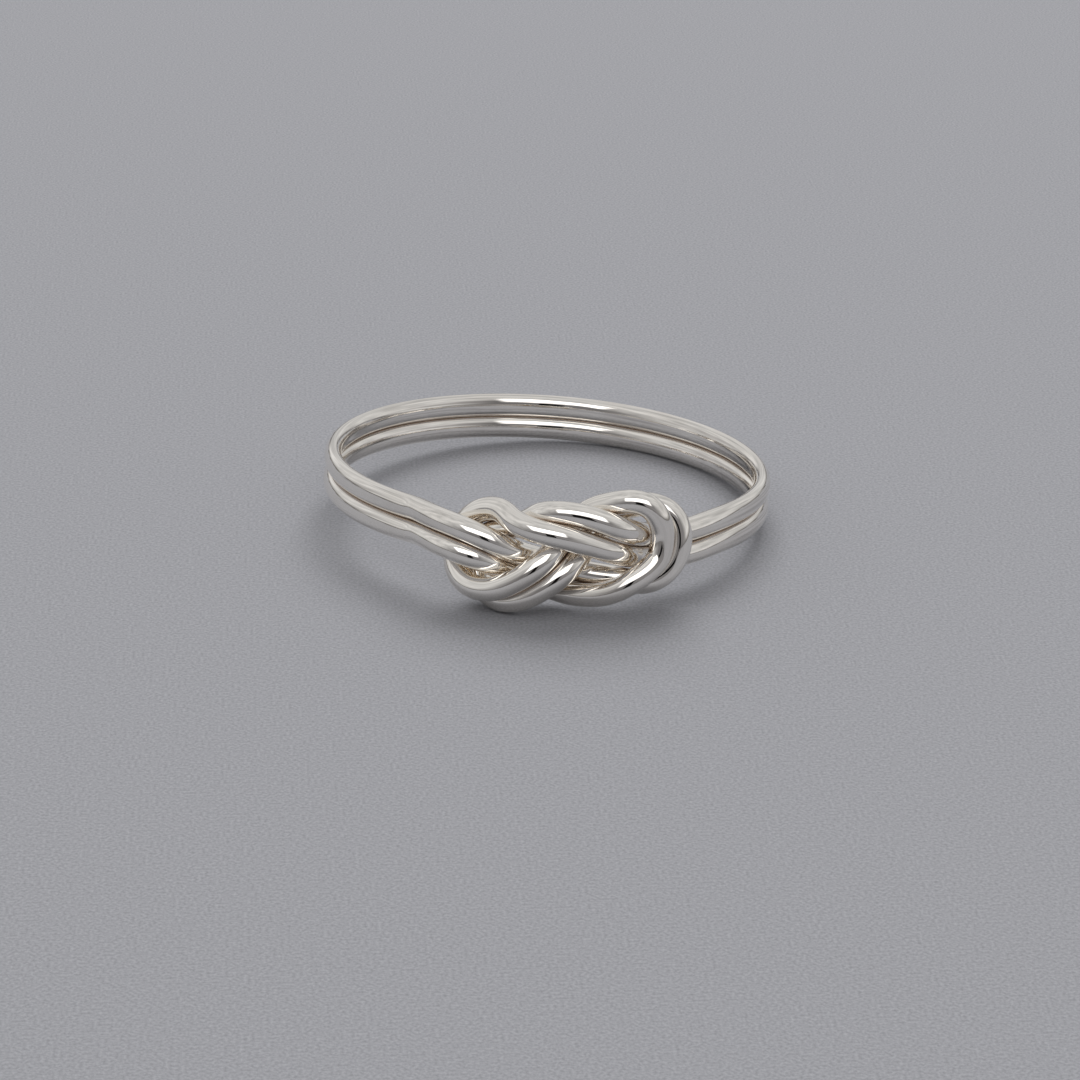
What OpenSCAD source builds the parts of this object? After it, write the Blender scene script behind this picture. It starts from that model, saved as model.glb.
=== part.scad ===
// A finger ring made from two silver wires that lie side by side.
// Along the band the wires are flattened a little and stacked.
// At the front the pair is tied in a flat figure-eight knot of round wire.
// The ring lies as it rests by itself: on the foot of its knot and on the back of its band.

/* [Band] */
// Inside diameter of the band, the finger's size
inner_d = 17.26; // [16.2:0.02:19.8]
// Height of one band wire, measured along the finger
band_wire_h = 1.0; // [0.9:0.01:1.1]
// Thickness of one band wire, measured out from the finger
band_wire_t = 0.74; // [0.6:0.01:0.9]
// How far the band stands to the left of a circle centred behind the knot
band_shift = 0.2; // [0:0.02:0.3]
// How much wider the band is than a circle, on its left and on its right
band_bulge = 0.09; // [0:0.01:0.2]

/* [Knot] */
// Diameter of the round wire in the knot, which sets the whole knot's size
knot_wire_d = 0.97; // [0.87:0.01:1.07]
// Gap between the two wires of the pair
wire_gap = 0.02; // [0.01:0.01:0.04]
// Distance from the knot's middle, along the band, at which the wire is still round
round_reach = 6.0; // [5.6:0.1:6.4]
// Length of band over which the wire flattens
flatten_length = 2.6; // [2:0.1:4]

/* [Rest] */
// Angle by which the knot lifts the front of the ring
rest_pitch = 4.6; // [0:0.1:8]
// Angle by which the knot lifts the left of the ring
rest_roll = 3.4; // [-4:0.1:4]

/* [Mesh] */
// Sides of a wire's section
section_sides = 14; // [8:2:16]
// Longest step between sections in the knot
knot_step = 0.3; // [0.25:0.05:0.5]
// Longest step between sections in the band
band_step = 0.9; // [0.6:0.1:1.5]

/* [Hidden] */

upper_silver = [0.86, 0.85, 0.84];
lower_silver = [0.80, 0.79, 0.78];

// The route of the pair's middle line through the knot, for a wire of route_wire_d.
// across: along the band from the knot's middle.  up: along the finger.
// out: away from the finger, from the band's own middle line.
// lean: how far the upper wire is turned from beside the lower one towards the front.
// spread: how much further apart the two wires run than side by side.
ACROSS = 0;
UP = 1;
OUT = 2;
LEAN = 3;
SPREAD = 4;
route_wire_d = 0.97;
knot_route = [
    // across, up, out, lean, spread
    // from the left of the band, over the left loop
    [-7.60,  0.03,  0.14,    0, 0],
    [-6.40,  0.10,  0.25,    0, 0],
    [-5.30,  0.18,  0.80,    0, 0],
    [-4.30,  0.12,  1.10,    0, 0],
    [-3.30, -0.15,  1.05,    5, 0],
    [-2.40, -0.65,  0.50,   15, 0],
    // under the middle strand
    [-1.40, -1.10,  0.00,    5, 0],
    [-0.40, -1.42, -0.17,  -12, 0],
    [ 0.55, -1.53,  0.24,  -43, 0],
    // up round the right loop, over the end strand
    [ 1.42, -1.41,  0.76,  -68, 0],
    [ 2.22, -1.18,  1.06, -112, 0.02],
    [ 2.85, -0.90,  1.20, -145, 0.03],
    [ 3.40, -0.35,  1.26, -160, 0.03],
    [ 3.58,  0.48,  1.24, -165, 0.03],
    [ 3.50,  1.22,  1.04, -145, 0.02],
    [ 2.90,  1.80,  0.76,  -92, 0],
    [ 2.20,  1.91,  0.49,  -58, 0],
    // down to the left, under the end strand and over the first one
    [ 1.50,  1.46, -0.03,  -30, 0],
    [ 0.76,  0.81, -0.19,    0, 0],
    [ 0.10,  0.18,  0.25,    5, 0],
    [-0.48, -0.43,  0.95,   -5, 0],
    [-1.08, -1.03,  1.20,  -20, 0],
    [-1.80, -1.62,  1.20,  -25, 0],
    // up round the left loop, under the first strand
    [-2.60, -2.02,  1.00,  -45, 0],
    [-3.42, -1.98,  0.60,  -75, 0],
    [-3.98, -1.52,  0.25, -115, 0],
    [-4.20, -0.80, -0.12, -155, 0],
    [-4.08, -0.10, -0.16, -180, 0],
    [-3.62,  0.52, -0.10, -180, 0],
    [-2.92,  0.85,  0.10, -165, 0],
    [-2.20,  1.00,  0.40, -125, 0],
    // to the right, over the middle strand and under the right loop
    [-1.50,  1.17,  0.88,  -75, 0],
    [-0.75,  1.22,  1.16,  -45, 0],
    [ 0.05,  1.12,  1.21,  -25, 0.03],
    [ 0.85,  0.88,  1.20,   -5, 0.04],
    [ 1.65,  0.55,  1.10,    5, 0.04],
    [ 2.40,  0.20,  0.54,    5, 0.02],
    [ 3.05, -0.06, -0.08,    0, 0],
    [ 4.05, -0.20, -0.17,    0, 0],
    [ 5.50, -0.12, -0.03,    0, 0],
    [ 6.90,  0.00, -0.09,    0, 0]
];
// Rows that carry the pair round the plain part of the band
band_rows = 10;

band_r = inner_d / 2 + band_wire_t / 2;
band_length = 2 * PI * band_r;
knot_scale = knot_wire_d / route_wire_d;

// The whole route, knot and band, which closes on itself after band_length
knot_rows = [for (r = knot_route)
    [r[ACROSS] * knot_scale, r[UP] * knot_scale, r[OUT] * knot_scale, r[LEAN], r[SPREAD] * knot_scale]];
knot_start = knot_rows[0][ACROSS];
knot_end = knot_rows[len(knot_rows) - 1][ACROSS];
plain_length = band_length + knot_start - knot_end;
// How far the plain band lies outside its circle, less than 0 for inside
function band_out(across) =
    let (right = sin(angle_at(across)))
    band_bulge * right * right - band_shift * right;
plain_rows = [for (i = [1 : band_rows]) let (across = knot_end + plain_length * i / (band_rows + 1))
    [across, 0, band_out(across), 0, 0]];
rows = concat(knot_rows, plain_rows);

function unit(v) = v / norm(v);
function at(list, i) = list[(i + len(list)) % len(list)];

// A row of the route, counted on through every turn of the ring
function row(i) =
    let (turn = floor(i / len(rows)))
    at(rows, i - turn * len(rows)) + [turn * band_length, 0, 0, 0, 0];

// Control row that draws the smooth curve through its own row
function control(i) = row(i) + (2 * row(i) - row(i - 1) - row(i + 1)) / 6;

// Smooth curve between row i and the next, with t from 0 to 1
function curve(i, t) =
    (pow(1 - t, 3) * control(i - 1)
    + (3 * pow(t, 3) - 6 * pow(t, 2) + 4) * control(i)
    + (-3 * pow(t, 3) + 3 * pow(t, 2) + 3 * t + 1) * control(i + 1)
    + pow(t, 3) * control(i + 2)) / 6;

// Sections are no further apart than knot_step or band_step, and at least two to a row
function place_of(r) = [r[ACROSS], r[UP], r[OUT]];
function steps(i) =
    let (step = i < len(knot_rows) - 1 ? knot_step : band_step)
    max(2, ceil(norm(place_of(row(i + 1)) - place_of(row(i))) / step));
route = [for (i = [0 : len(rows) - 1], j = [0 : steps(i) - 1]) curve(i, j / steps(i))];

// The band's own directions at a distance along it
function angle_at(across) = across / band_r * 180 / PI;
function outward(across) = [sin(angle_at(across)), -cos(angle_at(across)), 0];
function on_band(r) = (band_r + r[OUT]) * outward(r[ACROSS]) + [0, 0, r[UP]];

// Direction of travel at point i of a closed line
function heading(line, i) = unit(at(line, i + 1) - at(line, i - 1));
// Direction in the ring's face, square to the travel
function sideways(across, along) = unit(cross(outward(across), along));

// Distance from the knot's middle, the short way round the band
function from_knot(across) = abs(across - band_length * round(across / band_length));

// 1 in the knot, 0 along the flattened band, and a smooth change between
function roundness(across) =
    let (t = min(1, max(0, (from_knot(across) - round_reach) / flatten_length)))
    1 - t * t * (3 - 2 * t);
function mix(a, b, t) = a + (b - a) * t;
function half_height(across) = mix(band_wire_h, knot_wire_d, roundness(across)) / 2;
function half_thickness(across) = mix(band_wire_t, knot_wire_d, roundness(across)) / 2;

// Middle line of one wire: +1 is the upper one and -1 the lower one
pair_line = [for (r = route) on_band(r)];
function wire_line(which) = [for (i = [0 : len(route) - 1])
    let (r = route[i], along = heading(pair_line, i), side = sideways(r[ACROSS], along))
    let (front = cross(along, side))
    let (half_pitch = half_height(r[ACROSS]) + (wire_gap + r[SPREAD]) / 2)
    pair_line[i] + which * half_pitch * (cos(r[LEAN]) * side + sin(r[LEAN]) * front)];

// Sections of one wire, each a list of points round its middle line
function wire_sections(which) = let (line = wire_line(which)) [for (i = [0 : len(line) - 1])
    let (across = route[i][ACROSS], along = heading(line, i), side = sideways(across, along))
    let (front = cross(along, side))
    [for (k = [0 : section_sides - 1]) let (turn = 360 * k / section_sides)
        lie(line[i] + half_height(across) * cos(turn) * side + half_thickness(across) * sin(turn) * front)]];

// The lean that the ring takes when it rests on its knot
function lie(p) =
    let (x = p.x * cos(rest_roll) + p.z * sin(rest_roll))
    let (z = p.z * cos(rest_roll) - p.x * sin(rest_roll))
    [x, p.y * cos(rest_pitch) + z * sin(rest_pitch), z * cos(rest_pitch) - p.y * sin(rest_pitch)];

upper_sections = wire_sections(1);
lower_sections = wire_sections(-1);

// The ring is moved so that the middle of its box stands on the origin
points = [for (s = concat(upper_sections, lower_sections)) each s];
xs = [for (p = points) p.x];
ys = [for (p = points) p.y];
zs = [for (p = points) p.z];
seat = -[(min(xs) + max(xs)) / 2, (min(ys) + max(ys)) / 2, min(zs)];

// A wire that closes on itself, with its faces wound clockwise as seen from outside
module closed_wire(sections) {
    count = len(sections);
    faces = [for (i = [0 : count - 1], k = [0 : section_sides - 1])
        let (here = i * section_sides, next = (i + 1) % count * section_sides)
        let (k2 = (k + 1) % section_sides)
        each [[here + k, next + k2, here + k2], [here + k, next + k, next + k2]]];
    translate(seat)
        polyhedron(points = [for (s = sections) each s], faces = faces);
}

module upper_wire() {
    color(upper_silver)
        closed_wire(upper_sections);
}

module lower_wire() {
    color(lower_silver)
        closed_wire(lower_sections);
}

upper_wire();
lower_wire();
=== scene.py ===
"""A polished silver knot ring, dressed over its solid model, with its floor, light and camera."""

import math

import bpy
import numpy as np
from bpy.props import FloatProperty, FloatVectorProperty, IntProperty, PointerProperty
from mathutils import Matrix, Vector


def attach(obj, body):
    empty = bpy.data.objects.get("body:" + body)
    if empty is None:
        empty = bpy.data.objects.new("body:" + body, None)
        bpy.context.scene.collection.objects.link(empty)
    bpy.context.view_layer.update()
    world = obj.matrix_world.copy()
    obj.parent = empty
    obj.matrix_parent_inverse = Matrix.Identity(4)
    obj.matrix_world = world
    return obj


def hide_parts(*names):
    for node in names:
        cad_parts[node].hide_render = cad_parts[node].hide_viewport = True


bl_info = {
    "name": "Knot ring",
    "version": (1, 0, 0),
    "blender": (4, 5, 0),
    "location": "3D View > Sidebar > Knot ring",
    "description": "Makes a polished silver ring of two wires tied in a figure-eight knot, and its studio",
    "category": "Object",
}

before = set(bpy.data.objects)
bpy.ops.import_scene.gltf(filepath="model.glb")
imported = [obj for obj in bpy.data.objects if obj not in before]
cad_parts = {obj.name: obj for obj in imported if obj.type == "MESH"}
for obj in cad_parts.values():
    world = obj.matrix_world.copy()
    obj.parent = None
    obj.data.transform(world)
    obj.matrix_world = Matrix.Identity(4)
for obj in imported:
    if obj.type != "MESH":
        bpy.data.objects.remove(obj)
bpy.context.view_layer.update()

MM = 0.001

# The route of the pair's middle line through the knot, in millimetres and degrees.
# across: along the band from the knot's middle.  up: along the finger.
# out: away from the finger, from the band's own middle line.
# lean: how far the upper wire is turned from beside the lower one towards the front.
# spread: how much further apart the two wires run than side by side.
ACROSS, UP, OUT, LEAN, SPREAD = range(5)
ROUTE_WIRE_D = 0.97
KNOT_ROUTE = (
    # across, up, out, lean, spread
    # from the left of the band, over the left loop
    (-7.60, 0.03, 0.14, 0, 0),
    (-6.40, 0.10, 0.25, 0, 0),
    (-5.30, 0.18, 0.80, 0, 0),
    (-4.30, 0.12, 1.10, 0, 0),
    (-3.30, -0.15, 1.05, 5, 0),
    (-2.40, -0.65, 0.50, 15, 0),
    # under the middle strand
    (-1.40, -1.10, 0.00, 5, 0),
    (-0.40, -1.42, -0.17, -12, 0),
    (0.55, -1.53, 0.24, -43, 0),
    # up round the right loop, over the end strand
    (1.42, -1.41, 0.76, -68, 0),
    (2.22, -1.18, 1.06, -112, 0.02),
    (2.85, -0.90, 1.20, -145, 0.03),
    (3.40, -0.35, 1.26, -160, 0.03),
    (3.58, 0.48, 1.24, -165, 0.03),
    (3.50, 1.22, 1.04, -145, 0.02),
    (2.90, 1.80, 0.76, -92, 0),
    (2.20, 1.91, 0.49, -58, 0),
    # down to the left, under the end strand and over the first one
    (1.50, 1.46, -0.03, -30, 0),
    (0.76, 0.81, -0.19, 0, 0),
    (0.10, 0.18, 0.25, 5, 0),
    (-0.48, -0.43, 0.95, -5, 0),
    (-1.08, -1.03, 1.20, -20, 0),
    (-1.80, -1.62, 1.20, -25, 0),
    # up round the left loop, under the first strand
    (-2.60, -2.02, 1.00, -45, 0),
    (-3.42, -1.98, 0.60, -75, 0),
    (-3.98, -1.52, 0.25, -115, 0),
    (-4.20, -0.80, -0.12, -155, 0),
    (-4.08, -0.10, -0.16, -180, 0),
    (-3.62, 0.52, -0.10, -180, 0),
    (-2.92, 0.85, 0.10, -165, 0),
    (-2.20, 1.00, 0.40, -125, 0),
    # to the right, over the middle strand and under the right loop
    (-1.50, 1.17, 0.88, -75, 0),
    (-0.75, 1.22, 1.16, -45, 0),
    (0.05, 1.12, 1.21, -25, 0.03),
    (0.85, 0.88, 1.20, -5, 0.04),
    (1.65, 0.55, 1.10, 5, 0.04),
    (2.40, 0.20, 0.54, 5, 0.02),
    (3.05, -0.06, -0.08, 0, 0),
    (4.05, -0.20, -0.17, 0, 0),
    (5.50, -0.12, -0.03, 0, 0),
    (6.90, 0.00, -0.09, 0, 0),
)

# Rows that carry the pair round the plain part of the band
BAND_ROWS = 10
UPPER, LOWER = 1, -1
# Length of its own wire, in radii either way, that a point doesn't count as another strand
OWN_STRETCH = 4

# Names of what is kept with each point of a wire for its silver to read
TUCKED = "tucked_in"
FLATTENED = "flattened"
LINE_PLACE = "line_place"
LINE_TURN = "line_turn"

# The usual range of a noise, and the values in it at which dulling and the painted reflection streaks begin
# and are full
NOISE_LOW, NOISE_HIGH = 0.3, 0.7
DULL_NONE, DULL_FULL = 0.42, 0.66
PAINTED_STREAK_NONE, PAINTED_STREAK_FULL = 0.52, 0.28

# Shares of the floor's colour in its darkest and lightest grain
GRAIN_DARK, GRAIN_LIGHT = 0.60, 1.40
BOARD_ROUGHNESS = 0.9
BOARD_SHINE = 0.2
# Colours of the felt between its tufts and on them, and the size of a tuft
FELT_DARK, FELT_LIGHT = (0.004, 0.004, 0.004), (0.010, 0.010, 0.010)
NAP_SIZE = 2.5 * MM
# The softbox's cloth, in shares of its side: its middle, and how far from there it is bright and ends
CLOTH_MIDDLE = 0.5
CLOTH_BRIGHT, CLOTH_EDGE = 0.38, 0.5
# Nearest and furthest distance that the camera sees
CAMERA_NEAR, CAMERA_FAR = 5 * MM, 10.0
# Light that bounces this many times between two polished wires still gets out
MIRROR_BOUNCES = 24


class KnotRingSizes(bpy.types.PropertyGroup):
    """The sizes of the ring, its wires and its meshes"""

    inner_d: FloatProperty(
        name="Inside diameter",
        description="Inside diameter of the band, the finger's size",
        default=17.26 * MM,
        unit="LENGTH",
        precision=5,
    )
    band_wire_h: FloatProperty(
        name="Band wire height",
        description="Height of one band wire, measured along the finger",
        default=1.0 * MM,
        unit="LENGTH",
        precision=5,
    )
    band_wire_t: FloatProperty(
        name="Band wire thickness",
        description="Thickness of one band wire, measured out from the finger",
        default=0.74 * MM,
        unit="LENGTH",
        precision=5,
    )
    band_shift: FloatProperty(
        name="Band shift",
        description="How far the band stands to the left of a circle centred behind the knot",
        default=0.2 * MM,
        unit="LENGTH",
        precision=5,
    )
    band_bulge: FloatProperty(
        name="Band bulge",
        description="How much wider the band is than a circle, on its left and on its right",
        default=0.09 * MM,
        unit="LENGTH",
        precision=5,
    )
    knot_wire_d: FloatProperty(
        name="Knot wire diameter",
        description="Diameter of the round wire in the knot, which sets the whole knot's size",
        default=0.97 * MM,
        unit="LENGTH",
        precision=5,
    )
    wire_gap: FloatProperty(
        name="Wire gap",
        description="Gap between the two wires of the pair",
        default=0.02 * MM,
        unit="LENGTH",
        precision=5,
    )
    round_reach: FloatProperty(
        name="Round reach",
        description="Distance from the knot's middle, along the band, at which the wire is still round",
        default=6.0 * MM,
        unit="LENGTH",
        precision=5,
    )
    flatten_length: FloatProperty(
        name="Flatten length",
        description="Length of band over which the wire flattens",
        default=2.6 * MM,
        unit="LENGTH",
        precision=5,
    )
    rest_pitch: FloatProperty(
        name="Rest pitch",
        description="Angle by which the knot lifts the front of the ring",
        default=math.radians(4.6),
        subtype="ANGLE",
    )
    rest_roll: FloatProperty(
        name="Rest roll",
        description="Angle by which the knot lifts the left of the ring",
        default=math.radians(3.4),
        subtype="ANGLE",
    )
    mesh_step: FloatProperty(
        name="Mesh step",
        description="Longest step between two sections of a wire",
        default=0.13 * MM,
        unit="LENGTH",
        precision=5,
    )
    mesh_sides: IntProperty(
        name="Mesh sides",
        description="Sides of a wire's section",
        default=64,
        min=16,
    )


class KnotRingSilver(bpy.types.PropertyGroup):
    """The polished silver of both wires"""

    silver: FloatVectorProperty(
        name="Silver",
        description="Colour of the clean polished silver",
        default=(0.955, 0.923, 0.873),
        subtype="COLOR",
        min=0.0,
        max=1.0,
    )
    dulled_silver: FloatVectorProperty(
        name="Dulled silver",
        description="Colour of the silver where its polish has dulled",
        default=(0.905, 0.868, 0.815),
        subtype="COLOR",
        min=0.0,
        max=1.0,
    )
    dull_size: FloatProperty(
        name="Dull patch size",
        description="Width of the patches in which the polish has dulled",
        default=2.5 * MM,
        unit="LENGTH",
        precision=5,
    )
    bright_roughness: FloatProperty(
        name="Bright roughness",
        description="Roughness where the polish is best",
        default=0.035,
        subtype="FACTOR",
    )
    dull_roughness: FloatProperty(
        name="Dull roughness",
        description="Roughness where the polish has dulled",
        default=0.075,
        subtype="FACTOR",
    )
    line_width: FloatProperty(
        name="Drawn line width",
        description="Width of the faint lines that drawing and rolling leave along the wire",
        default=0.13 * MM,
        unit="LENGTH",
        precision=5,
    )
    line_length: FloatProperty(
        name="Drawn line length",
        description="Length of those lines",
        default=6.0 * MM,
        unit="LENGTH",
        precision=5,
    )
    line_depth: FloatProperty(
        name="Drawn line depth",
        description="Depth of those lines on the flattened band",
        default=0.010 * MM,
        unit="LENGTH",
        precision=6,
    )
    # Painted reflection: this darker silver paints the dark streaks that reflections lay along the wire, in
    # the deepest drawn lines
    painted_streak_silver: FloatVectorProperty(
        name="Painted streak silver",
        description="Colour of the silver in those lines, where dark reflections are painted",
        default=(0.62, 0.59, 0.56),
        subtype="COLOR",
        min=0.0,
        max=1.0,
    )
    knot_lines: FloatProperty(
        name="Lines in the knot",
        description="Share of those lines that is left on the round wire of the knot",
        default=0.25,
        subtype="FACTOR",
    )
    tarnish: FloatVectorProperty(
        name="Tarnish",
        description="Colour of the silver deep between two wires, where no cloth reaches",
        default=(0.66, 0.58, 0.51),
        subtype="COLOR",
        min=0.0,
        max=1.0,
    )
    tarnish_roughness: FloatProperty(
        name="Tarnish roughness",
        description="Roughness of that silver",
        default=0.25,
        subtype="FACTOR",
    )
    tarnish_reach: FloatProperty(
        name="Tarnish reach",
        description="Gap to the next wire within which the silver stays tarnished",
        default=0.16 * MM,
        unit="LENGTH",
        precision=5,
    )
    wave_size: FloatProperty(
        name="Wave size",
        description="Length of the shallow waves that bending leaves in the wire",
        default=1.6 * MM,
        unit="LENGTH",
        precision=5,
    )
    wave_depth: FloatProperty(
        name="Wave depth",
        description="Depth of those waves",
        default=0.006 * MM,
        unit="LENGTH",
        precision=6,
    )
    scuff_size: FloatProperty(
        name="Scuff size",
        description="Width of the fine marks that the polishing cloth leaves",
        default=0.06 * MM,
        unit="LENGTH",
        precision=5,
    )
    scuff_depth: FloatProperty(
        name="Scuff depth",
        description="Depth of those marks",
        default=0.0002 * MM,
        unit="LENGTH",
        precision=6,
    )


class KnotRingStudio(bpy.types.PropertyGroup):
    """The floor, the light and the camera"""

    floor_size: FloatProperty(
        name="Floor size",
        description="Side of the square floor",
        default=3.0,
        unit="LENGTH",
    )
    floor_colour: FloatVectorProperty(
        name="Floor colour",
        description="Colour of the pale floor",
        default=(0.285, 0.287, 0.305),
        subtype="COLOR",
        min=0.0,
        max=1.0,
    )
    grain_size: FloatProperty(
        name="Floor grain",
        description="Size of the floor's fine grain",
        default=0.12 * MM,
        unit="LENGTH",
        precision=5,
    )
    grain_depth: FloatProperty(
        name="Floor grain depth",
        description="Depth of that grain",
        default=0.02 * MM,
        unit="LENGTH",
        precision=5,
    )
    camera_distance: FloatProperty(
        name="Camera distance",
        description="Distance from the camera to the point that it looks at",
        default=144.0 * MM,
        unit="LENGTH",
    )
    camera_azimuth: FloatProperty(
        name="Camera azimuth",
        description="Direction of the camera, round from the knot's front",
        default=math.radians(-4.94),
        subtype="ANGLE",
    )
    camera_elevation: FloatProperty(
        name="Camera elevation",
        description="Angle of the camera above the floor",
        default=math.radians(23.28),
        subtype="ANGLE",
    )
    camera_roll: FloatProperty(
        name="Camera roll",
        description="Turn of the camera about its own line of sight",
        default=math.radians(1.0),
        subtype="ANGLE",
    )
    lens: FloatProperty(
        name="Lens",
        description="Focal length of the camera, in millimetres",
        default=113.07,
        subtype="DISTANCE_CAMERA",
    )
    camera_aim: FloatVectorProperty(
        name="Camera aim",
        description="Point that the camera looks at",
        default=(-0.333 * MM, -0.234 * MM, -0.576 * MM),
        subtype="TRANSLATION",
        precision=5,
    )
    box_watts: FloatProperty(
        name="Softbox power",
        description="Power of the softbox over the camera",
        default=0.8,
        unit="POWER",
    )
    box_distance: FloatProperty(
        name="Softbox distance",
        description="Distance from the ring to the softbox",
        default=0.5,
        unit="LENGTH",
    )
    box_elevation: FloatProperty(
        name="Softbox elevation",
        description="Angle of the softbox's middle above the floor",
        default=math.radians(43),
        subtype="ANGLE",
    )
    box_width: FloatProperty(
        name="Softbox width",
        description="Width of the softbox",
        default=0.58,
        unit="LENGTH",
    )
    box_height: FloatProperty(
        name="Softbox height",
        description="Height of the softbox",
        default=0.33,
        unit="LENGTH",
    )
    back_watts: FloatProperty(
        name="Back light power",
        description="Power of the light behind the ring",
        default=3.8,
        unit="POWER",
    )
    back_distance: FloatProperty(
        name="Back light distance",
        description="Distance from the ring to the light behind it",
        default=0.7,
        unit="LENGTH",
    )
    back_azimuth: FloatProperty(
        name="Back light azimuth",
        description="Direction of that light, round from the knot's front",
        default=math.radians(170),
        subtype="ANGLE",
    )
    back_elevation: FloatProperty(
        name="Back light elevation",
        description="Angle of that light above the floor",
        default=math.radians(55),
        subtype="ANGLE",
    )
    back_size: FloatProperty(
        name="Back light size",
        description="Side of that square light",
        default=0.5,
        unit="LENGTH",
    )
    card_distance: FloatProperty(
        name="Black card distance",
        description="Distance from the ring to the black card behind the camera",
        default=0.2,
        unit="LENGTH",
    )
    card_width: FloatProperty(
        name="Black card width",
        description="Width of the black card",
        default=0.052,
        unit="LENGTH",
    )
    card_height: FloatProperty(
        name="Black card height",
        description="Height of the black card",
        default=0.086,
        unit="LENGTH",
    )
    card_base: FloatProperty(
        name="Black card base",
        description="Height of the card's lower edge above the floor",
        default=0.010,
        unit="LENGTH",
    )
    room_light: FloatVectorProperty(
        name="Room light",
        description="Colour of the white room round the ring",
        default=(0.60, 0.598, 0.598),
        subtype="COLOR",
        min=0.0,
        max=1.0,
    )
    room_low: FloatVectorProperty(
        name="Room near the floor",
        description="Colour of the room's walls down at the floor",
        default=(0.16, 0.155, 0.15),
        subtype="COLOR",
        min=0.0,
        max=1.0,
    )
    room_low_reach: FloatProperty(
        name="Low walls reach",
        description="Angle above the floor at which the walls are fully light",
        default=math.radians(9),
        subtype="ANGLE",
    )
    room_unevenness: FloatProperty(
        name="Room unevenness",
        description="Share by which the walls' light rises and falls from place to place",
        default=0.24,
        subtype="FACTOR",
    )
    room_detail: FloatProperty(
        name="Room detail",
        description="How many lighter and darker places there are across the room",
        default=3.0,
    )
    room_shade: FloatVectorProperty(
        name="Room shade",
        description="Colour of the darker part of the room, round the camera",
        default=(0.17, 0.165, 0.17),
        subtype="COLOR",
        min=0.0,
        max=1.0,
    )
    shade_elevation: FloatProperty(
        name="Shade elevation",
        description="Angle above the floor of the middle of the darker part",
        default=math.radians(8),
        subtype="ANGLE",
    )
    shade_core: FloatProperty(
        name="Shade core",
        description="Angle from that middle at which the room begins to lighten",
        default=math.radians(12),
        subtype="ANGLE",
    )
    shade_reach: FloatProperty(
        name="Shade reach",
        description="Angle from that middle at which the room is fully light",
        default=math.radians(70),
        subtype="ANGLE",
    )


def ring_rows(sizes):
    """All rows of the route, in millimetres and degrees, and the length of one turn of the band."""
    knot = np.array(KNOT_ROUTE, float)
    knot[:, (ACROSS, UP, OUT, SPREAD)] *= sizes.knot_wire_d / MM / ROUTE_WIRE_D
    band_length = math.tau * (sizes.inner_d + sizes.band_wire_t) / 2 / MM
    start, end = knot[0, ACROSS], knot[-1, ACROSS]
    plain = np.zeros((BAND_ROWS, knot.shape[1]))
    plain[:, ACROSS] = end + (band_length + start - end) * np.arange(1, BAND_ROWS + 1) / (BAND_ROWS + 1)
    right = np.sin(plain[:, ACROSS] / band_length * math.tau)
    plain[:, OUT] = (sizes.band_bulge * right**2 - sizes.band_shift * right) / MM
    return np.vstack([knot, plain]), band_length


def smooth_route(rows, band_length, step):
    """The closed smooth curve through the rows, sampled no further apart than step."""
    count = len(rows)
    turn = np.zeros(rows.shape[1])
    turn[ACROSS] = band_length

    def row(i):
        return rows[i % count] + (i // count) * turn

    def control(i):
        return row(i) + (2 * row(i) - row(i - 1) - row(i + 1)) / 6

    samples = []
    for i in range(count):
        controls = [control(k) for k in (i - 1, i, i + 1, i + 2)]
        gap = (row(i + 1) - row(i))[[ACROSS, UP, OUT]]
        steps = max(2, math.ceil(np.linalg.norm(gap) / step))
        for t in np.linspace(0, 1, steps, endpoint=False):
            shares = ((1 - t) ** 3, 3 * t**3 - 6 * t**2 + 4, -3 * t**3 + 3 * t**2 + 3 * t + 1, t**3)
            samples.append(sum(share * point for share, point in zip(shares, controls)) / 6)
    return np.array(samples)


def units(vectors):
    """Each vector at length 1."""
    return vectors / np.linalg.norm(vectors, axis=-1, keepdims=True)


def headings(line):
    """Direction of travel at each point of a closed line."""
    return units(np.roll(line, -1, axis=0) - np.roll(line, 1, axis=0))


def frames(line, outward):
    """At each point, the direction in the ring's face square to the travel, and the one to the front."""
    along = headings(line)
    side = units(np.cross(outward, along))
    return side, np.cross(along, side)


def roundness(across, band_length, sizes):
    """1 in the knot, 0 along the flattened band, and a smooth change between."""
    from_knot = np.abs(across - band_length * np.round(across / band_length))
    t = np.clip((from_knot - sizes.round_reach / MM) / (sizes.flatten_length / MM), 0, 1)
    return 1 - t * t * (3 - 2 * t)


def lie(points, sizes):
    """The points leaned as the ring leans when it rests on its knot."""
    x, y, z = points[..., 0], points[..., 1], points[..., 2]
    roll_cos, roll_sin = math.cos(sizes.rest_roll), math.sin(sizes.rest_roll)
    pitch_cos, pitch_sin = math.cos(sizes.rest_pitch), math.sin(sizes.rest_pitch)
    across = x * roll_cos + z * roll_sin
    tall = z * roll_cos - x * roll_sin
    return np.stack([across, y * pitch_cos + tall * pitch_sin, tall * pitch_cos - y * pitch_sin], axis=-1)


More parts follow.
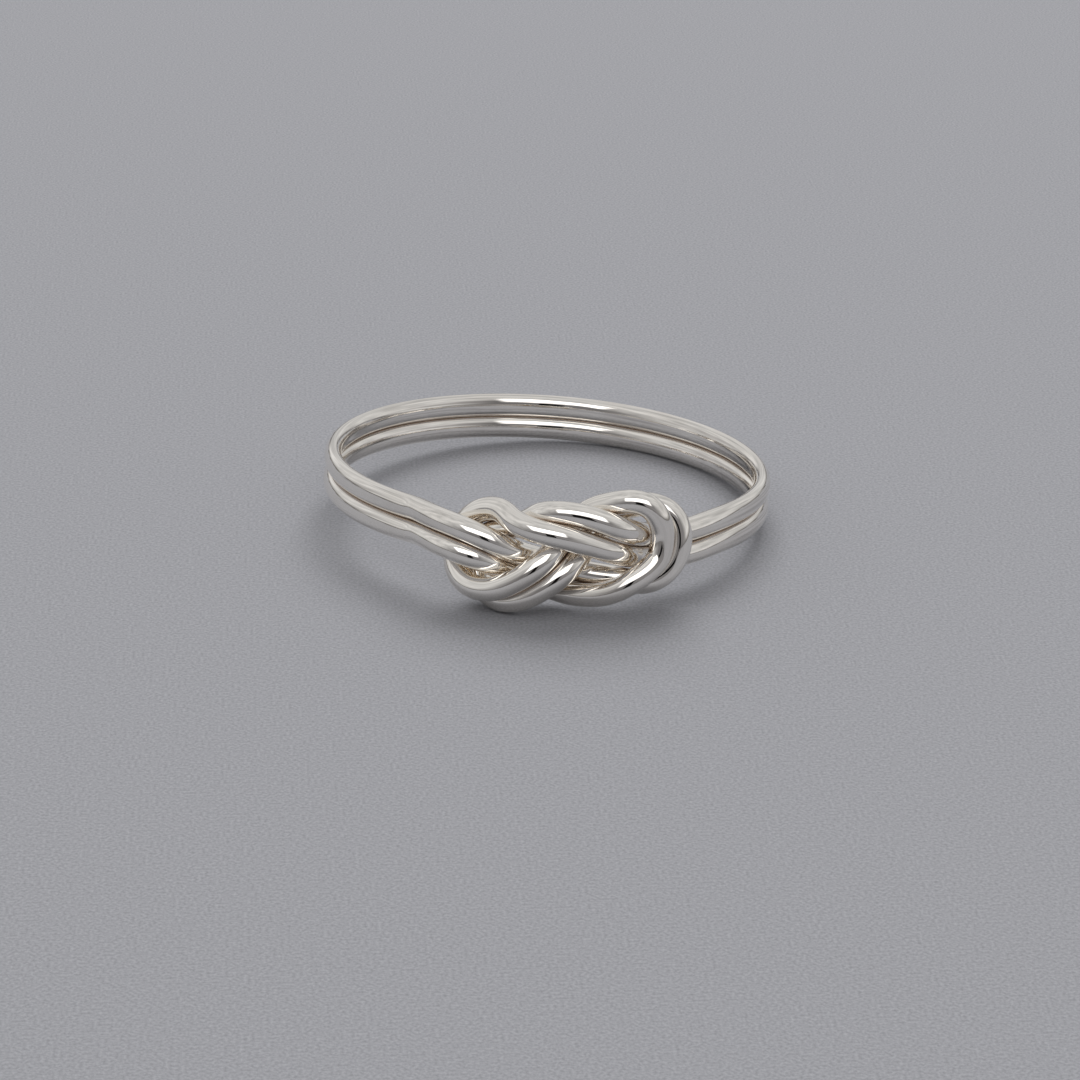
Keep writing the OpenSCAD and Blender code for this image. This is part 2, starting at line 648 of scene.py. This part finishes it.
def wire_sections(which, route, band_length, sizes):
    """Rings of points round one wire of the pair, in millimetres, before the ring is set down."""
    band_r = (sizes.inner_d + sizes.band_wire_t) / 2 / MM
    turned = route[:, ACROSS] / band_r
    outward = np.stack([np.sin(turned), -np.cos(turned), np.zeros_like(turned)], axis=-1)
    pair_line = (band_r + route[:, OUT, None]) * outward
    pair_line[:, 2] += route[:, UP]

    side, front = frames(pair_line, outward)
    in_knot = roundness(route[:, ACROSS], band_length, sizes)[:, None]
    half_height = (sizes.band_wire_h + (sizes.knot_wire_d - sizes.band_wire_h) * in_knot) / 2 / MM
    half_thickness = (sizes.band_wire_t + (sizes.knot_wire_d - sizes.band_wire_t) * in_knot) / 2 / MM
    half_pitch = half_height + (sizes.wire_gap / MM + route[:, SPREAD, None]) / 2
    lean = np.radians(route[:, LEAN, None])
    line = pair_line + which * half_pitch * (np.cos(lean) * side + np.sin(lean) * front)

    side, front = frames(line, outward)
    turns = np.arange(sizes.mesh_sides) * math.tau / sizes.mesh_sides
    rings = (
        line[:, None]
        + (half_height * np.cos(turns))[..., None] * side[:, None]
        + (half_thickness * np.sin(turns))[..., None] * front[:, None]
    )
    return lie(rings, sizes)


def seat(both):
    """The move that stands the ring on the floor, with the middle of its box on the origin."""
    points = np.concatenate([rings.reshape(-1, 3) for rings in both.values()])
    low, high = points.min(axis=0), points.max(axis=0)
    return -np.array([(low[0] + high[0]) / 2, (low[1] + high[1]) / 2, low[2]])


def tucked_in(which, both, sizes, reach):
    """How near each point of a wire lies to the next strand: 1 at a touch, 0 beyond the reach."""
    lines = {wire: rings.mean(axis=1) for wire, rings in both.items()}
    own, other = lines[which], lines[-which]
    wire_r = sizes.knot_wire_d / 2 / MM
    own_stretch = math.ceil(OWN_STRETCH * wire_r / (sizes.mesh_step / MM))
    share = []
    for i, ring in enumerate(both[which]):
        along = np.abs(np.arange(len(own)) - i)
        elsewhere = np.minimum(along, len(own) - along) > own_stretch
        strands = np.vstack([other, own[elsewhere]])
        gap = np.linalg.norm(ring[:, None] - strands[None], axis=-1).min(axis=1) - wire_r
        share.append(np.clip(1 - gap / reach, 0, 1))
    return np.array(share)


def closed_tube(name, rings):
    """A mesh piece through rings of points, in millimetres, that close on themselves both ways."""
    count, sides = rings.shape[:2]
    here = np.arange(count)[:, None] * sides + np.arange(sides)[None, :]
    round_on = np.roll(here, -1, axis=1)
    faces = np.stack([here, round_on, np.roll(round_on, -1, axis=0), np.roll(here, -1, axis=0)], axis=-1)
    mesh = bpy.data.meshes.new(name)
    mesh.from_pydata((rings.reshape(-1, 3) * MM).tolist(), [], faces.reshape(-1, 4).tolist())
    mesh.validate()
    mesh.shade_smooth()
    piece = bpy.data.objects.new(name, mesh)
    bpy.context.collection.objects.link(piece)
    return piece


def note(piece, name, values):
    """Keep a number, or a row of three, with each point of a piece for its material to read."""
    kind, key = ("FLOAT", "value") if values.ndim == 2 else ("FLOAT_VECTOR", "vector")
    piece.data.attributes.new(name, kind, "POINT").data.foreach_set(key, values.ravel())


def all_round(values, sides):
    """One number for each ring of points, given to every point of that ring."""
    return np.repeat(values[:, None], sides, axis=1)


def note_lines(piece, rings, sizes, look):
    """Keep with each point its place for the lines that run along the wire.

    The way round the wire and the way along it are two circles in the four dimensions of a noise, so
    that the lines close on themselves without a seam.
    """
    count, sides = rings.shape[:2]
    line = rings.mean(axis=1)
    length = np.linalg.norm(line - np.roll(line, 1, axis=0), axis=-1).cumsum()
    along = length / length[-1] * math.tau
    around = np.arange(sides) * math.tau / sides
    round_circle = sizes.knot_wire_d / 2 / look.line_width
    along_circle = length[-1] * MM / math.tau / look.line_length
    place = np.empty((count, sides, 3))
    place[..., 0] = round_circle * np.cos(around)
    place[..., 1] = round_circle * np.sin(around)
    place[..., 2] = along_circle * np.cos(along)[:, None]
    note(piece, LINE_PLACE, place)
    note(piece, LINE_TURN, all_round(along_circle * np.sin(along), sides))


def make_wire(which, name, node):
    """One wire of the ring as a smooth piece that stands for its CAD node."""
    sizes = bpy.context.scene.knot_ring_sizes
    look = bpy.context.scene.knot_ring_silver
    rows, band_length = ring_rows(sizes)
    route = smooth_route(rows, band_length, sizes.mesh_step / MM)
    both = {wire: wire_sections(wire, route, band_length, sizes) for wire in (UPPER, LOWER)}
    flattened = 1 - roundness(route[:, ACROSS], band_length, sizes)
    piece = closed_tube(name, both[which] + seat(both))
    note(piece, TUCKED, tucked_in(which, both, sizes, look.tarnish_reach / MM))
    note_lines(piece, both[which], sizes, look)
    note(piece, FLATTENED, all_round(flattened, sizes.mesh_sides))
    piece.data.materials.append(polished_silver())
    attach(piece, "root")
    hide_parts(node)


def node_adder(owner):
    """The function that adds nodes to the emptied node tree of a material, a light or a world."""
    owner.use_nodes = True
    tree = owner.node_tree
    tree.nodes.clear()

    def add(kind, label, sockets=(), **settings):
        """Add a node, with each socket linked to another node's output or set to a value."""
        node = tree.nodes.new(kind)
        node.label = label
        for setting, value in settings.items():
            setattr(node, setting, value)
        for socket, value in dict(sockets).items():
            if isinstance(value, bpy.types.NodeSocket):
                tree.links.new(value, node.inputs[socket])
            else:
                node.inputs[socket].default_value = value
        return node

    return add


def opaque(colour, share=1.0):
    """A colour, or a share of its brightness, as a shader takes it."""
    return (*(share * part for part in colour), 1)


def noise(add, label, place, scale, detail):
    """A number from 0 to 1 that rises and falls from place to place."""
    sockets = {"Vector": place, "Scale": scale, "Detail": detail}
    return add("ShaderNodeTexNoise", label, sockets).outputs["Fac"]


def noted(add, label, name):
    """The number that was kept with each point of the piece under this name."""
    return add("ShaderNodeAttribute", label, attribute_name=name).outputs["Fac"]


def smooth_share(add, label, value, none, full):
    """0 where the value is none, 1 where it is full, and a smooth change between."""
    sockets = {"Value": value, "From Min": none, "From Max": full}
    return add("ShaderNodeMapRange", label, sockets, interpolation_type="SMOOTHSTEP").outputs["Result"]


def between(add, label, share, low, high):
    """The number that lies this share of the way from low to high."""
    sockets = {"Value": share, "To Min": low, "To Max": high}
    return add("ShaderNodeMapRange", label, sockets).outputs["Result"]


def mixed(add, label, share, first, second):
    """The first colour, with this share of the second in it."""
    sockets = {"Factor": share, "A": first, "B": second}
    return add("ShaderNodeMix", label, sockets, data_type="RGBA").outputs["Result"]


def polish(add, place, look):
    """The colour and roughness of polished silver that has dulled in patches."""
    patches = noise(add, "Dull patches", place, 1 / look.dull_size, detail=3.0)
    dulled = smooth_share(add, "Patch edges", patches, DULL_NONE, DULL_FULL)
    colour = mixed(add, "Silver colour", dulled, opaque(look.silver), opaque(look.dulled_silver))
    roughness = between(add, "Roughness", dulled, look.bright_roughness, look.dull_roughness)
    return colour, roughness


def drawn_lines(add, look):
    """The height of the lines along the wire, from 0 to 1, and the share of it that each place shows."""
    place = add("ShaderNodeAttribute", "Place for the lines", attribute_name=LINE_PLACE).outputs["Vector"]
    turn = noted(add, "Turn for the lines", LINE_TURN)
    sockets = {"Vector": place, "W": turn, "Scale": 1.0}
    height = add("ShaderNodeTexNoise", "Drawn lines", sockets, noise_dimensions="4D").outputs["Fac"]
    flattened = noted(add, "Flattened", FLATTENED)
    return height, between(add, "Share of the lines", flattened, look.knot_lines, 1.0)


def with_painted_streaks(add, colour, height, share, look):
    """The colour with painted dark reflection streaks in the deepest of the drawn lines."""
    # Painted reflection: the deepest drawn lines are painted darker to stand in for dark reflection streaks
    deep = smooth_share(add, "Deep lines", height, PAINTED_STREAK_NONE, PAINTED_STREAK_FULL)
    painted_streaks = add("ShaderNodeMath", "Streaks", {0: deep, 1: share}, operation="MULTIPLY").outputs["Value"]
    return mixed(add, "Streaked colour", painted_streaks, colour, opaque(look.painted_streak_silver))


def tarnished(add, colour, roughness, look):
    """The colour and roughness with tarnish deep between two wires."""
    tucked = noted(add, "Tucked in", TUCKED)
    sockets = {"Factor": tucked, "A": roughness, "B": look.tarnish_roughness}
    rough = add("ShaderNodeMix", "Tarnished roughness", sockets).outputs["Result"]
    return mixed(add, "Tarnished colour", tucked, colour, opaque(look.tarnish)), rough


def relief(add, place, height, share, look):
    """The silver's normal, with shallow waves, the drawn lines and fine cloth marks."""
    waves = noise(add, "Waves", place, 1 / look.wave_size, detail=1.0)
    scuffs = noise(add, "Cloth marks", place, 1 / look.scuff_size, detail=2.0)
    wavy = add("ShaderNodeBump", "Wavy", {"Height": waves, "Distance": look.wave_depth})
    lined = add(
        "ShaderNodeBump",
        "Lined",
        {"Height": height, "Strength": share, "Distance": look.line_depth, "Normal": wavy.outputs["Normal"]},
    )
    scuffed = add(
        "ShaderNodeBump",
        "Scuffed",
        {"Height": scuffs, "Distance": look.scuff_depth, "Normal": lined.outputs["Normal"]},
    )
    return scuffed.outputs["Normal"]


def polished_silver():
    """Polished silver with dull patches, lines along the wire with painted reflection streaks, tarnish
    between wires and fine marks.
    """
    made = bpy.data.materials.get("polished_silver")
    if made:
        return made
    look = bpy.context.scene.knot_ring_silver
    made = bpy.data.materials.new("polished_silver")
    add = node_adder(made)
    place = add("ShaderNodeTexCoord", "Place on the ring").outputs["Object"]
    height, share = drawn_lines(add, look)
    colour, roughness = polish(add, place, look)
    # Painted dark reflection streaks along the drawn lines
    colour = with_painted_streaks(add, colour, height, share, look)
    colour, roughness = tarnished(add, colour, roughness, look)
    normal = relief(add, place, height, share, look)
    metal = add(
        "ShaderNodeBsdfPrincipled",
        "Silver",
        {"Base Color": colour, "Roughness": roughness, "Metallic": 1.0, "Normal": normal},
    )
    add("ShaderNodeOutputMaterial", "Surface", {"Surface": metal.outputs["BSDF"]})
    return made


def pale_board():
    """The floor's pale matt board, with a fine grain."""
    studio = bpy.context.scene.knot_ring_studio
    made = bpy.data.materials.new("pale_board")
    add = node_adder(made)
    place = add("ShaderNodeTexCoord", "Place on the floor").outputs["Object"]
    grain = noise(add, "Grain", place, 1 / studio.grain_size, detail=3.0)
    dark, light = (opaque(studio.floor_colour, share) for share in (GRAIN_DARK, GRAIN_LIGHT))
    tone = mixed(add, "Board colour", grain, dark, light)
    bumpy = add("ShaderNodeBump", "Grain depth", {"Height": grain, "Distance": studio.grain_depth})
    board = add(
        "ShaderNodeBsdfPrincipled",
        "Board",
        {
            "Base Color": tone,
            "Roughness": BOARD_ROUGHNESS,
            "Specular IOR Level": BOARD_SHINE,
            "Normal": bumpy.outputs["Normal"],
        },
    )
    add("ShaderNodeOutputMaterial", "Surface", {"Surface": board.outputs["BSDF"]})
    return made


def black_felt():
    """The felt of the black card."""
    made = bpy.data.materials.new("black_felt")
    add = node_adder(made)
    place = add("ShaderNodeTexCoord", "Place on the card").outputs["Object"]
    nap = noise(add, "Nap", place, 1 / NAP_SIZE, detail=2.0)
    tone = mixed(add, "Felt colour", nap, opaque(FELT_DARK), opaque(FELT_LIGHT))
    sockets = {"Base Color": tone, "Roughness": 1.0, "Specular IOR Level": 0.0}
    felt = add("ShaderNodeBsdfPrincipled", "Felt", sockets)
    add("ShaderNodeOutputMaterial", "Surface", {"Surface": felt.outputs["BSDF"]})
    return made


def towards(azimuth, elevation):
    """The direction at an azimuth round from the knot's front and an elevation above the floor."""
    level = math.cos(elevation)
    return Vector((math.sin(azimuth) * level, -math.cos(azimuth) * level, math.sin(elevation)))


def aimed(place, at, roll=0.0):
    """The matrix that stands a light or camera at a place and turns it to face a point."""
    back = (place - at).normalized()
    right = Vector((0, 0, 1)).cross(back).normalized()
    up = back.cross(right)
    turned_right = right * math.cos(roll) + up * math.sin(roll)
    turned_up = up * math.cos(roll) - right * math.sin(roll)
    return Matrix.Translation(place) @ Matrix((turned_right, turned_up, back)).transposed().to_4x4()


def make_room():
    """A soft white room, darker round the camera and low on its walls."""
    studio = bpy.context.scene.knot_ring_studio
    room = bpy.data.worlds.new("soft_room")
    add = node_adder(room)
    way = add("ShaderNodeTexCoord", "Direction").outputs["Generated"]
    height = add("ShaderNodeSeparateXYZ", "Direction parts", {"Vector": way}).outputs["Z"]
    above = smooth_share(add, "Height", height, 0.0, math.sin(studio.room_low_reach))
    walls = mixed(add, "Wall colour", above, opaque(studio.room_low), opaque(studio.room_light))
    middle = towards(studio.camera_azimuth, studio.shade_elevation)
    near = add("ShaderNodeVectorMath", "Nearness to the camera", {0: way, 1: middle}, operation="DOT_PRODUCT")
    edge, core = math.cos(studio.shade_reach), math.cos(studio.shade_core)
    shade = smooth_share(add, "Shade share", near.outputs["Value"], edge, core)
    tone = mixed(add, "Room colour", shade, walls, opaque(studio.room_shade))
    strength = add(
        "ShaderNodeMapRange",
        "Wall light",
        {
            "Value": noise(add, "Uneven walls", way, studio.room_detail, detail=2.0),
            "From Min": NOISE_LOW,
            "From Max": NOISE_HIGH,
            "To Min": 1 - studio.room_unevenness,
            "To Max": 1 + studio.room_unevenness,
        },
    )
    glow = add("ShaderNodeBackground", "Room", {"Color": tone, "Strength": strength.outputs["Result"]})
    add("ShaderNodeOutputWorld", "Room", {"Surface": glow.outputs["Background"]})
    bpy.context.scene.world = room


def stage_sheet(name, corners, material):
    """A flat four-cornered piece of the stage."""
    mesh = bpy.data.meshes.new(name)
    mesh.from_pydata(corners, [], [(0, 1, 2, 3)])
    mesh.materials.append(material)
    sheet = bpy.data.objects.new(name, mesh)
    bpy.context.collection.objects.link(sheet)
    return sheet


def make_floor():
    """A wide plain floor under the ring."""
    half = bpy.context.scene.knot_ring_studio.floor_size / 2
    corners = [(-half, -half, 0), (half, -half, 0), (half, half, 0), (-half, half, 0)]
    stage_sheet("pale_floor", corners, pale_board())


def make_black_card():
    """A black card that stands behind the camera and gives the silver its dark marks."""
    studio = bpy.context.scene.knot_ring_studio
    half = studio.card_width / 2
    low, high = studio.card_base, studio.card_base + studio.card_height
    corners = [(half, 0, low), (-half, 0, low), (-half, 0, high), (half, 0, high)]
    card = stage_sheet("black_card", corners, black_felt())
    card.location = towards(studio.camera_azimuth, 0) * studio.card_distance
    card.rotation_euler.z = studio.camera_azimuth
    card.visible_camera = False


def soft_edges(lamp):
    """The white cloth of a softbox, which dims towards its edges."""
    add = node_adder(lamp)
    place = add("ShaderNodeNewGeometry", "Place on the cloth").outputs["Parametric"]
    parts = add("ShaderNodeSeparateXYZ", "Place parts", {"Vector": place})
    shares = []
    for side in "XY":
        sockets = {0: parts.outputs[side], 1: CLOTH_MIDDLE}
        off = add("ShaderNodeMath", f"From the middle, {side}", sockets, operation="SUBTRACT")
        size = add("ShaderNodeMath", f"Distance, {side}", {0: off.outputs["Value"]}, operation="ABSOLUTE")
        shares.append(smooth_share(add, f"Edge, {side}", size.outputs["Value"], CLOTH_EDGE, CLOTH_BRIGHT))
    both = add("ShaderNodeMath", "Cloth", {0: shares[0], 1: shares[1]}, operation="MULTIPLY")
    glow = add("ShaderNodeEmission", "Glow", {"Strength": both.outputs["Value"]})
    add("ShaderNodeOutputLight", "Light", {"Surface": glow.outputs["Emission"]})


def make_softbox():
    """A wide white softbox over the camera."""
    studio = bpy.context.scene.knot_ring_studio
    lamp = bpy.data.lights.new("softbox", "AREA")
    lamp.shape = "RECTANGLE"
    lamp.size = studio.box_width
    lamp.size_y = studio.box_height
    lamp.energy = studio.box_watts
    soft_edges(lamp)
    box = bpy.data.objects.new("softbox", lamp)
    place = towards(studio.camera_azimuth, studio.box_elevation) * studio.box_distance
    box.matrix_world = aimed(place, Vector())
    box.visible_camera = False
    bpy.context.collection.objects.link(box)


def make_back_light():
    """A wide light behind the ring, hidden from the silver, that throws a soft shadow forward."""
    studio = bpy.context.scene.knot_ring_studio
    lamp = bpy.data.lights.new("back_light", "AREA")
    lamp.size = studio.back_size
    lamp.energy = studio.back_watts
    light = bpy.data.objects.new("back_light", lamp)
    place = towards(studio.back_azimuth, studio.back_elevation) * studio.back_distance
    light.matrix_world = aimed(place, Vector())
    light.visible_camera = light.visible_glossy = False
    bpy.context.collection.objects.link(light)


def make_camera():
    """The camera at the photograph's viewing angle."""
    studio = bpy.context.scene.knot_ring_studio
    optics = bpy.data.cameras.new("camera")
    optics.lens = studio.lens
    optics.clip_start = CAMERA_NEAR
    optics.clip_end = CAMERA_FAR
    camera = bpy.data.objects.new("camera", optics)
    aim = Vector(studio.camera_aim)
    place = aim + towards(studio.camera_azimuth, studio.camera_elevation) * studio.camera_distance
    camera.matrix_world = aimed(place, aim, studio.camera_roll)
    bpy.context.collection.objects.link(camera)
    bpy.context.scene.camera = camera


class KnotRingUpperWire(bpy.types.Operator):
    """Make the upper wire of polished silver"""

    bl_idname = "knot_ring.upper_wire"
    bl_label = "Upper wire"

    def execute(self, context):
        make_wire(UPPER, "upper_wire_polished", "upper_wire")
        return {"FINISHED"}


class KnotRingLowerWire(bpy.types.Operator):
    """Make the lower wire of polished silver"""

    bl_idname = "knot_ring.lower_wire"
    bl_label = "Lower wire"

    def execute(self, context):
        make_wire(LOWER, "lower_wire_polished", "lower_wire")
        return {"FINISHED"}


class KnotRingStage(bpy.types.Operator):
    """Make the floor, the light and the camera"""

    bl_idname = "knot_ring.stage"
    bl_label = "Stage"

    def execute(self, context):
        make_room()
        make_floor()
        make_black_card()
        make_softbox()
        make_back_light()
        make_camera()
        context.scene.view_settings.view_transform = "Standard"
        context.scene.cycles.max_bounces = context.scene.cycles.glossy_bounces = MIRROR_BOUNCES
        return {"FINISHED"}


class KnotRingPanel(bpy.types.Panel):
    """Lists what the knot ring is made of, with its sizes and colours"""

    bl_idname = "VIEW3D_PT_knot_ring"
    bl_label = "Knot ring"
    bl_space_type = "VIEW_3D"
    bl_region_type = "UI"
    bl_category = "Knot ring"

    def draw(self, context):
        scene = context.scene
        for operator in OPERATORS:
            self.layout.operator(operator.bl_idname)
        for group in (scene.knot_ring_sizes, scene.knot_ring_silver, scene.knot_ring_studio):
            box = self.layout.box()
            for name in group.__annotations__:
                box.prop(group, name)


OPERATORS = (KnotRingUpperWire, KnotRingLowerWire, KnotRingStage)
GROUPS = (KnotRingSizes, KnotRingSilver, KnotRingStudio)


def register():
    for kind in (*GROUPS, *OPERATORS, KnotRingPanel):
        bpy.utils.register_class(kind)
    bpy.types.Scene.knot_ring_sizes = PointerProperty(type=KnotRingSizes)
    bpy.types.Scene.knot_ring_silver = PointerProperty(type=KnotRingSilver)
    bpy.types.Scene.knot_ring_studio = PointerProperty(type=KnotRingStudio)


def unregister():
    del bpy.types.Scene.knot_ring_studio
    del bpy.types.Scene.knot_ring_silver
    del bpy.types.Scene.knot_ring_sizes
    for kind in (KnotRingPanel, *reversed(OPERATORS), *reversed(GROUPS)):
        bpy.utils.unregister_class(kind)


def main():
    register()
    bpy.ops.knot_ring.upper_wire()
    bpy.ops.knot_ring.lower_wire()
    bpy.ops.knot_ring.stage()


if __name__ == "__main__":
    main()
